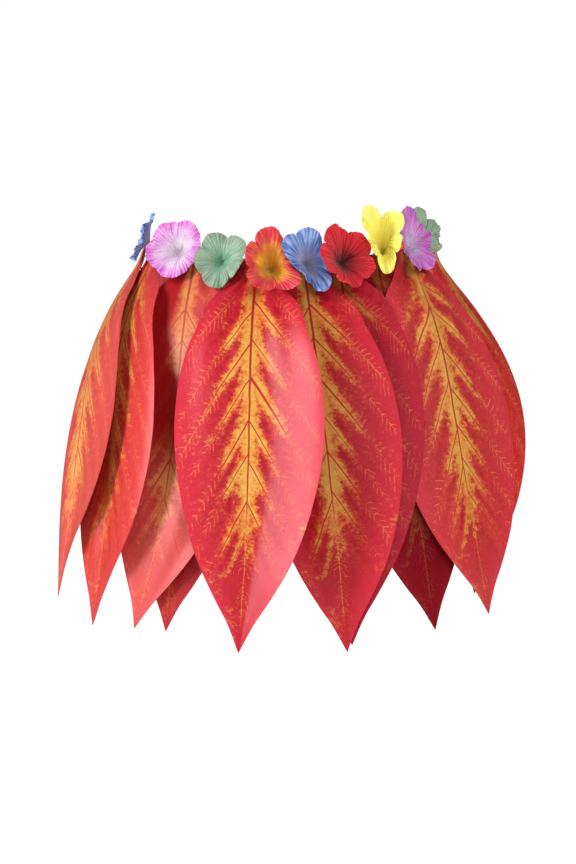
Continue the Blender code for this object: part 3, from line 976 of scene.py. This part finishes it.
@dataclass
class LeafSet:
    """The printed leaves, each gathered at its top and hung from the band."""

    form: SkirtForm
    groups: NodeGroups
    leaves: tuple[Leaf, ...] = LEAVES
    pattern_length: float = 0.372
    half_width: float = 0.059  # of the pattern at its widest
    cad_wall: float = 0.0012  # the solids' wall, which sets how the leaves stack
    wall: float = 0.0007
    seam_gap: float = 0.0004  # between two layers at the band
    belly: float = 0.45  # share of the length where the middle azimuth holds
    columns: int = 44  # faces across
    rows: int = 120  # faces down
    crowding: float = 1.25  # above 1, the rows lie closer together near the top
    gather: float = 0.0012  # depth of the gathers at the sewn top
    gather_reach: float = 0.035  # they fade out over about this length
    gather_waves: float = 3.0  # gathers across a leaf
    seat_reach: float = 0.006  # a leaf steps out over the tops below it within about this
    layer_step: float = 0.0055  # between two layers once they hang free
    layer_reach: float = 0.060  # they hang free from about this far down
    crease: float = 0.30  # a margin that stands up folds from this far out
    crease_soft: float = 0.10
    pleat_reach: float = 0.032  # the folds below the gathered top are deepest here
    pleat_waves: float = 3.4  # folds across a leaf
    print_shift: float = 0.37  # between one leaf's print and the next
    back_fade: float = 0.45  # how far the print pales at the back of the cloth
    back_roughness: float = 0.6
    pieces: list[bpy.types.Object] = field(default_factory=list)

    def path(self, leaf: Leaf, t: Number) -> Number:
        """Length of cloth from a leaf's top at a share of its length."""
        return t * self.pattern_length * leaf.length

    def azimuth(self, leaf: Leaf, t: Number) -> Number:
        """Find the azimuth of a leaf's midrib: a curve through its three azimuths.

        Args:
            leaf: the leaf.
            t: 0 at its top to 1 at its tip.

        Returns:
            The azimuth in radians.
        """
        top, belly, tip = (math.radians(a) for a in leaf.azimuths)
        b = self.belly
        return (
            top * (t - b) * (t - 1) / b
            + belly * t * (t - 1) / (b * (b - 1))
            + tip * t * (t - b) / (1 - b)
        )

    def height(self, leaf: Leaf, u: Number, t: Number) -> Number:
        """Find how far the middle of a leaf's cloth lies out from the skirt's surface.

        Args:
            leaf: the leaf.
            u: -1 at its left margin to 1 at its right.
            t: 0 at its top to 1 at its tip.

        Returns:
            The distance out.
        """
        path = self.path(leaf, t)
        opened = 1.0 - np.exp(-((path / self.layer_reach) ** 2))
        step = self.cad_wall + self.seam_gap
        seat = step * (leaf.seats[0] * (1 - u) + leaf.seats[1] * (1 + u)) / 2.0
        seat = seat * (1.0 - np.exp(-((path / self.seat_reach) ** 2)))
        left, middle, right = leaf.layers
        across = u * leaf_share(t)
        tilt, bow = (right - left) / 2.0, (right + left) / 2.0 - middle
        layer = middle + tilt * across + bow * across * across
        wave = (1 + np.cos(self.gather_waves * math.pi * u)) / 2.0 * (1 - u * u)
        gather = self.gather * wave * np.exp(-((path / self.gather_reach) ** 2))
        base = self.seam_gap + self.cad_wall / 2.0
        return base + seat * (1 - opened) + self.layer_step * layer * opened + gather

    def folds(self, leaf: Leaf, u: Number, t: Number) -> Number:
        """Find how far the folds of one leaf's own cloth stand out of its hanging shape.

        Args:
            leaf: the leaf.
            u: -1 at its left margin to 1 at its right.
            t: 0 at its top to 1 at its tip.

        Returns:
            The distance out.
        """
        path = self.path(leaf, t)
        body = smoothstep(0.12, 0.40, t) * (1.0 - smoothstep(0.72, 1.0, t))
        wing = smoothstep(0.03, 0.17, t) * (1.0 - smoothstep(0.78, 1.0, t))
        lift = 0.0
        for side, rise in ((-u, leaf.lifts[0]), (u, leaf.lifts[1])):
            past = side - self.crease
            lift = lift + rise * (past + np.sqrt(past * past + self.crease_soft**2)) / 2.0
        lift = lift / (1.0 - self.crease) * wing
        near = path / self.pleat_reach
        pleats = leaf.pleat * near * np.exp(1.0 - near) * (1.0 - u**4)
        turn = self.pleat_waves * math.pi * u + leaf.phase + 0.8 * np.sin(9 * t)
        pleats = pleats * (0.5 + 0.5 * np.cos(turn))
        sway = leaf.sway * np.sin(5.0 * u + leaf.phase * 2.0 + 3.0 * t) * body
        sway = sway + 0.5 * leaf.sway * np.sin(9.0 * u - 4.0 * t + leaf.phase) * body
        return lift + pleats + sway

    def surface(self, leaf: Leaf, u: Number, t: Number) -> np.ndarray:
        """Find points of a leaf's cloth.

        Args:
            leaf: the leaf.
            u: -1 at its left margin to 1 at its right.
            t: 0 at its top to 1 at its tip.

        Returns:
            Rows of x, y and z.
        """
        path = self.path(leaf, t)
        rib = self.azimuth(leaf, t)
        rib_out, _ = self.form.hang(rib, path)
        share = leaf_share(t)
        azimuth = rib + u * self.half_width * share / self.form.reach_per_radian(rib, rib_out)
        out, down = self.form.hang(azimuth, path)
        out = out + self.height(leaf, u, t) + self.folds(leaf, u, t)
        return self.form.band_point(azimuth, out, self.form.band_top(azimuth) - down)

    def build(self) -> None:
        """Model every leaf: a grid hung on the skirt's surface, its last row drawn to a point."""
        for number, leaf in enumerate(self.leaves, start=1):
            piece = new_grid(f"printed_leaf_{number:02d}", self.columns, self.rows)
            flat = points_of(piece)
            u = flat[:, 0]
            t = ((1.0 - flat[:, 1]) / 2.0) ** self.crowding
            share = leaf_share(t)
            place_points(piece, self.surface(leaf, u, t))
            pattern = np.stack((u * share * self.half_width, self.path(leaf, t)))
            paint_uv(piece, "pattern", pattern.T * 10.0)
            paint_uv(piece, "share", np.stack((u / 2.0 + 0.5, t)).T)
            self.pieces.append(piece)

    def dress(self) -> None:
        """Give each leaf its print with its painted shade, shadow and sheen, and its wall, and log
        its length and area.
        """
        shares = leaf_share(np.linspace(0.0, 1.0, 400))
        for number, (piece, leaf) in enumerate(zip(self.pieces, self.leaves), start=1):
            shift = self.print_shift * number
            # The face's material carries the leaf's painted shade, shadow and sheen.
            front = LeafPrint(
                f"leaf print {number:02d}", leaf.warmth, leaf.painted_sheen, shift, painted_light_share=leaf.painted_light_share,
                painted_shadow=leaf.painted_shadow, painted_shadow_end=leaf.painted_shadow_end, amber=leaf.amber, plain=leaf.plain,
            )
            back = LeafPrint(
                f"leaf back {number:02d}", leaf.warmth, self.back_fade, shift, self.back_roughness
            )
            cloths = [front.material(self.groups), back.material(self.groups)]
            finish_sheet(piece, self.wall, cloths)
            length = self.path(leaf, 1.0)
            area = float(np.mean(shares)) * 2.0 * self.half_width * length
            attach(piece, "root")
            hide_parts(f"leaf_{number:02d}")
            LOG.info("%s: %.0f mm long, %.4f m2", piece.name, length * 1000.0, area)


# ---- flowers
@dataclass(frozen=True)
class Flower:
    """One flower: its place on the band, how it is turned, and its five petals."""

    dye: FlowerDye
    azimuth: float  # in degrees, as nod, turn, roll and fold are
    rise: float  # height of its face's middle above the band's top edge
    nod: float  # its face tips up by this
    turn: float  # and turns by this towards greater azimuth
    roll: float  # round its own middle
    radius: float  # of a petal whose factor is 1
    fold: float  # its two sides fold forwards by this
    cup: float = 1.0  # factor on the funnel's depth
    pinch: float = 0.0  # how far the lower petals are drawn together
    lengths: tuple[float, ...] = (1.0, 1.0, 1.0, 1.0, 1.0)  # of the petals, as factors
    lifts: tuple[float, ...] = (0.0, 0.0, 0.0, 0.0, 0.0)  # forwards at their rims
    notch: float = 1.0  # factor on the notches between its petals


FRONT_FLOWERS = (
    Flower(FlowerDye.BLUE, -71.0, 0.004, 24.0, -18.0, 20.0, 0.025, 8.0, 0.45),
    Flower(
        FlowerDye.PINK, -47.0, -0.002, 16.0, 16.0, 55.0, 0.0283, 2.0, 1.0, 0.0,
        (1.00, 0.97, 0.95, 1.07, 0.95), (0.0, 0.0, 0.005, 0.002, 0.0), 0.55,
    ),
    Flower(
        FlowerDye.GREEN, -26.5, -0.006, 14.0, 18.0, 40.0, 0.0255, 8.0, 0.8, 0.0,
        (1.08, 1.02, 0.95, 1.12, 0.80), (-0.002, 0.0, 0.001, 0.002, 0.006), 0.85,
    ),
    Flower(
        FlowerDye.ORANGE, -7.6, -0.01, 20.0, 18.0, 18.0, 0.031, 10.0, 1.5, -0.2,
        (0.50, 1.20, 0.90, 1.04, 0.97), (-0.003, -0.006, 0.002, 0.004, 0.002), 1.1,
    ),
    Flower(
        FlowerDye.BLUE, 5.4, -0.0045, 18.0, 18.0, 8.0, 0.031, 10.0, 1.15, 0.30,
        (0.52, 1.00, 1.02, 0.85, 1.12), (-0.001, -0.002, 0.001, 0.008, 0.002),
    ),
    Flower(
        FlowerDye.RED, 18.6, -0.006, 18.0, 15.5, 43.0, 0.031, 8.0, 1.35, 0.0,
        (0.95, 1.07, 1.10, 1.00, 0.83), (-0.001, 0.001, 0.003, 0.006, 0.002),
    ),
    Flower(
        FlowerDye.YELLOW, 36.5, 0.009, 6.0, -18.0, 58.0, 0.027, 30.0, 1.0, 0.1,
        (1.05, 1.38, 0.72, 1.15, 0.56), (0.004, 0.0, 0.004, 0.003, 0.007), 1.8,
    ),
    Flower(
        FlowerDye.ORCHID, 49.0, 0.003, 14.0, 14.0, 20.0, 0.031, 6.0, 1.0, 0.0,
        (0.70, 1.12, 1.0, 1.0, 0.92), (0.002, 0.0, 0.0, 0.002, 0.002),
    ),
    Flower(
        FlowerDye.GREEN, 62.5, 0.008, 14.0, -18.0, 28.0, 0.0255, 8.0, 0.5, 0.0,
        (0.75, 1.08, 0.55, 0.60, 0.78),
    ),
)

BACK_FLOWERS = tuple(
    Flower(dye, azimuth, rise, 16.0, 18.0, roll, 0.026, 8.0)
    for dye, azimuth, rise, roll in (
        (FlowerDye.ORANGE, 124.5, -0.011, 4.0),
        (FlowerDye.BLUE, 141.0, -0.012, 24.0),
        (FlowerDye.RED, 157.5, -0.005, 10.0),
        (FlowerDye.YELLOW, 173.5, -0.005, 30.0),
        (FlowerDye.PINK, 189.5, -0.005, 16.0),
        (FlowerDye.GREEN, 205.3, -0.005, 2.0),
        (FlowerDye.RED, 221.8, -0.006, 22.0),
        (FlowerDye.ORANGE, 237.0, -0.007, 34.0),
    )
)


@dataclass
class FlowerRow:
    """The cloth flowers sewn over the tops of the leaves."""

    form: SkirtForm
    leaf_set: LeafSet
    groups: NodeGroups
    flowers: tuple[Flower, ...] = FRONT_FLOWERS + BACK_FLOWERS
    sides: int = 240  # faces round
    rings: int = 15  # faces from the middle to the rim
    petals: int = 5
    wall: float = 0.0005
    clearance: float = 0.0006  # half the wall of the leaves' solids
    samples: int = 15  # places across a foot where the cloth below is measured
    cup: float = 0.012  # depth of the funnel
    notch: float = 0.24  # depth of the notches, as a share of the radius
    lobe_power: float = 0.5  # the lower it is, the narrower the notches
    ruffle: float = 0.0016  # at the rim, petals' middles stand forwards and notches back by this
    foot: float = 0.007  # the funnel is kept clear of the cloth for this far to each side
    foot_tip: float = 0.0030  # the foot itself touches for this far to each side
    funnel_rise: float = 0.45  # slope of the funnel's sides beside its foot
    foot_drop: float = 0.004  # the cloth is measured down to this far below the foot
    gap: float = 0.0003  # between the foot and the cloth below it
    foot_seat: float = -0.0025  # a foot is sewn at least this far below the band's top edge
    calyx: float = 0.45  # share of the radius over which a flower narrows to its foot
    pressed: float = 0.00042  # depth of the pressed rays at the rim
    pressed_rays: tuple[int, int] = (50, 37)
    frill: float = 0.0011  # depth of the small waves at the rim
    frill_waves: tuple[float, float] = (13.0, 8.0)
    smooth: float = 75.0  # angle in degrees above which an edge stays sharp
    dye_shift: float = 0.9  # between one flower's dye and the next
    cut_spread: float = 1.06  # a flower as cut is this much wider than as drawn in
    cut_share: float = 0.78  # share of its square that the cut fills
    pieces: list[bpy.types.Object] = field(default_factory=list)

    def cloth_height(self, azimuth: float, path: float, reach: float) -> float:
        """Find how far out the leaf tops stand below a funnel.

        Args:
            azimuth: the flower's place round the band, in radians.
            path: how far below the band's top it is.
            reach: how far the funnel reaches to each side.

        Returns:
            The height above the band.
        """
        highest = 0.0
        per_radian = self.form.reach_per_radian(azimuth, 0.0)
        flare, _ = self.form.hang(azimuth, path)
        for leaf in self.leaf_set.leaves:
            t = path / self.leaf_set.path(leaf, 1.0)
            half_leaf = self.leaf_set.half_width * float(leaf_share(t)) / per_radian
            for share in np.linspace(-1.0, 1.0, self.samples):
                away = azimuth + reach / per_radian * share - self.leaf_set.azimuth(leaf, t)
                away = (away + math.pi) % (2.0 * math.pi) - math.pi
                if abs(away) <= half_leaf:
                    top = self.leaf_set.height(leaf, away / half_leaf, t) + self.clearance
                    top = float(flare + top) - self.funnel_rise * reach * abs(share)
                    highest = max(highest, top)
        return highest

    def petal_points(self, flower: Flower, ring: np.ndarray, turn: np.ndarray) -> np.ndarray:
        """Shape a flower before it is placed.

        Args:
            flower: the flower.
            ring: share of the radius.
            turn: angle round its middle.

        Returns:
            Rows of x to its right, y up and z out of its face.
        """
        petal = np.abs(np.cos(self.petals / 2.0 * turn)) ** self.lobe_power
        lengths = self.around(flower.lengths, turn)
        lifts = self.around(flower.lifts, turn)
        notch = self.notch * flower.notch * (1.0 - petal)
        radius = flower.radius * lengths * ring * (1.0 - notch * ring)
        x = radius * np.cos(turn + math.radians(flower.roll))
        y = radius * np.sin(turn + math.radians(flower.roll))
        x = x * (1.0 - flower.pinch * smoothstep(0.0, flower.radius, -y))
        z = flower.cup * self.cup * (1.0 - (1.0 - ring) ** 2) + lifts * ring**2
        z = z + self.ruffle * ring**2 * np.cos(self.petals * turn)
        fast, slow = self.frill_waves
        frill = np.sin(fast * turn + flower.roll) + 0.6 * np.sin(slow * turn + 2.0 * flower.roll)
        z = z + self.frill * frill * ring**4
        many, fewer = self.pressed_rays
        rays = np.cos(many * turn) + 0.7 * np.cos(fewer * turn)
        z = z + self.pressed * rays * smoothstep(0.25, 0.9, ring)
        fold = math.radians(flower.fold)
        return np.stack((x * math.cos(fold), y, z + np.abs(x) * math.sin(fold)), axis=-1)

    def around(self, values: Sequence[float], turn: np.ndarray) -> np.ndarray:
        """Read a value that each petal has, blended between neighbours.

        Args:
            values: one for each petal.
            turn: angle round the flower.

        Returns:
            The values at those angles.
        """
        place = (turn / (2.0 * math.pi) * self.petals) % self.petals
        low = np.floor(place).astype(int) % self.petals
        part = smoothstep(0.0, 1.0, place - np.floor(place))
        table = np.array(values)
        return table[low] * (1.0 - part) + table[(low + 1) % self.petals] * part

    def turned(self, flower: Flower, points: np.ndarray) -> np.ndarray:
        """Nod and turn a flower about its foot.

        Args:
            flower: the flower.
            points: its points before it is placed.

        Returns:
            The turned points.
        """
        x, y, z = points.T
        y, z = spin(y, z, flower.nod)
        x, z = spin(x, z, flower.turn)
        return np.stack((x, y, z), axis=-1)

    def build(self) -> None:
        """Model every flower: a grid rolled into a frilled cup of five petals."""
        for number, flower in enumerate(self.flowers, start=1):
            piece = new_grid(f"cloth_flower_{number:02d}", self.sides, self.rings)
            flat = points_of(piece)
            turn = (flat[:, 0] + 1.0) * math.pi
            ring = (flat[:, 1] + 1.0) / 2.0
            shape = self.petal_points(flower, ring, turn)
            x, y, z = self.turned(flower, shape).T
            azimuth = math.radians(flower.azimuth)
            seat = min(flower.rise, self.foot_seat)
            touching = self.cloth_height(azimuth, self.foot_drop / 2.0 - seat, self.foot_tip)
            clear = self.cloth_height(azimuth, self.foot_drop - seat, self.foot)
            narrowed = 1.0 - smoothstep(0.0, self.calyx, ring)
            y = y - narrowed * (flower.rise - seat)
            z = z - narrowed * (clear - touching)
            foot = clear + self.gap + self.wall
            height = float(self.form.band_top(azimuth)) + flower.rise
            base = self.form.band_point(azimuth, foot, height)
            east, north, _ = self.form.band_point(azimuth, foot + 1.0, height) - base
            x, y, z = base[0] - x * north + z * east, base[1] + x * east + z * north, base[2] + y
            place_points(piece, np.stack((x, y, z), axis=-1))
            paint_uv(piece, "pattern", np.stack((turn / (2.0 * math.pi), ring)).T)
            self.pieces.append(piece)

    def dress(self) -> None:
        """Give each flower its dye and its wall, and log its size across."""
        for number, (piece, flower) in enumerate(zip(self.pieces, self.flowers), start=1):
            cloth = PetalCloth(flower.dye, self.dye_shift * number)
            name = f"{flower.dye.name.lower()} petals {number:02d}"
            finish_sheet(piece, self.wall, [cloth.material(name, self.groups)], self.smooth)
            across = 2.0 * flower.radius * float(np.mean(flower.lengths)) * self.cut_spread
            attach(piece, "root")
            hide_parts(f"flower_{number:02d}")
            flat, area = (across, across), self.cut_share * across * across
            LOG.info("%s: %s, %.0f mm across", piece.name, flower.dye.name, across * 1000.0)


# ---- the waistband
@dataclass
class WaistBand:
    """The elastic band that the leaves and flowers are sewn to."""

    form: SkirtForm
    segments: int = 360  # faces round
    rows: int = 10  # faces down
    girth: float = 0.765  # length of its strip
    welt: float = 0.00035  # its edges roll in this far
    pieces: list[bpy.types.Object] = field(default_factory=list)

    def build(self) -> None:
        """Model the band: an oval strip whose edges roll in."""
        piece = new_grid("elastic_band", self.segments, self.rows)
        flat = points_of(piece)
        azimuth = flat[:, 0] * math.pi
        drop = (1.0 - flat[:, 1]) / 2.0 * self.form.band_height
        middle = -self.form.band_wall / 2.0 - self.welt * flat[:, 1] ** 4
        placed = self.form.band_point(azimuth, middle, self.form.band_top(azimuth) - drop)
        place_points(piece, placed)
        along = azimuth * (self.form.half_width + self.form.half_depth) / 2.0
        paint_uv(piece, "pattern", np.stack((along, drop)).T * 10.0)
        self.pieces.append(piece)

    def dress(self) -> None:
        """Give the band its elastic and its wall, and log its length round."""
        piece = self.pieces[0]
        finish_sheet(piece, self.form.band_wall - self.welt, [KnitElastic().material()])
        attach(piece, "root")
        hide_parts("waistband")
        LOG.info("%s: %.0f mm round", piece.name, self.girth * 1000.0)


# ---- the studio
@dataclass(frozen=True)
class Studio:
    """A white studio: floor, lights and a level camera before the skirt."""

    lens: float = 105.27  # in millimetres, as the sensor is
    sensor: float = 36.0
    camera_place: Point = (-0.0019, -2.4, -0.1667)
    floor_height: float = -0.62
    floor_half: float = 9.0
    aim_height: float = -0.16  # the lights point here

    def floor(self) -> None:
        """Lay the white floor."""
        bpy.ops.object.select_all(action="DESELECT")
        bpy.ops.mesh.primitive_plane_add(
            size=2.0 * self.floor_half, location=(0.0, 0.0, self.floor_height)
        )
        floor = bpy.context.object
        floor.name = "studio_floor"
        bpy.ops.object.transform_apply(location=True, rotation=True, scale=True)
        material, wires, shader = new_material("studio white")
        seen = Value(wires, wires.node("ShaderNodeLightPath").outputs["Is Camera Ray"])
        look = {
            "Base Color": (0.80, 0.80, 0.80),
            "Roughness": 0.9,
            "Emission Color": (1.0, 1.0, 1.0),
            "Emission Strength": seen * 0.8 + 0.2,
        }
        wires.fill(shader, look)
        floor.data.materials.append(material)

    def lamp(
        self, name: str, azimuth: float, elevation: float, distance: float,
        size: tuple[float, float], power: float, mirrored: bool = False,
    ) -> None:
        """Hang one soft light, aimed at the skirt's middle.

        Args:
            name: the light's name.
            azimuth: where it stands round the skirt, in degrees.
            elevation: how high it stands, in degrees.
            distance: how far away.
            size: its width and height.
            power: its power in watts.
            mirrored: whether the satin mirrors it.
        """
        light = bpy.data.lights.new(name, "AREA")
        light.shape = "RECTANGLE"
        light.size, light.size_y = size
        light.energy = power
        lamp = bpy.data.objects.new(name, light)
        lamp.visible_glossy = mirrored
        bpy.context.scene.collection.objects.link(lamp)
        around, up = math.radians(azimuth), math.radians(elevation)
        lamp.location = (
            distance * math.sin(around) * math.cos(up),
            -distance * math.cos(around) * math.cos(up),
            distance * math.sin(up) + self.aim_height,
        )
        lamp.rotation_euler = (math.radians(90.0) - up, 0.0, around)

    def camera(self) -> None:
        """Stand the level camera before the skirt."""
        data = bpy.data.cameras.new("front camera")
        data.lens = self.lens
        data.sensor_width = self.sensor
        camera = bpy.data.objects.new("front camera", data)
        camera.location = self.camera_place
        camera.rotation_euler = (math.radians(90.0), 0.0, 0.0)
        bpy.context.scene.collection.objects.link(camera)
        bpy.context.scene.camera = camera

    def world(self) -> None:
        """Light the studio's air: white to look at, softer on the skirt."""
        world = bpy.data.worlds.new("studio air")
        world.use_nodes = True
        wires = Wiring(world.node_tree)
        path = wires.node("ShaderNodeLightPath").outputs
        seen = Value(wires, path["Is Camera Ray"])
        glossy = Value(wires, path["Is Glossy Ray"])
        strength = seen * 0.80 + (glossy * -0.14 + 0.20)
        air = {"Color": (1.0, 1.0, 1.0), "Strength": strength}
        wires.fill(world.node_tree.nodes["Background"], air)
        bpy.context.scene.world = world

    def build(self) -> None:
        """Set up everything that isn't the skirt."""
        self.floor()
        self.lamp("key", -62.0, 20.0, 2.4, (0.5, 1.5), 56.0, mirrored=True)
        self.lamp("front fill", 22.0, 20.0, 2.6, (1.8, 1.5), 32.0)
        self.lamp("right fill", 62.0, 42.0, 2.4, (1.0, 1.4), 15.0)
        self.lamp("back light", 180.0, 35.0, 2.4, (1.4, 1.4), 16.0)
        self.camera()
        self.world()
        bpy.context.scene.view_settings.view_transform = "Standard"
        LOG.info("studio: floor, four lights and the camera")


def main() -> None:
    """Build the skirt's sub-assemblies in order and report each piece."""
    logging.basicConfig(level=logging.INFO, format="%(message)s")
    form = SkirtForm()
    groups = NodeGroups()
    leaves = LeafSet(form, groups)
    flowers = FlowerRow(form, leaves, groups)
    for part in (WaistBand(form), leaves, flowers):
        part.build()
        part.dress()
    Studio().build()


if __name__ == "__main__":
    main()
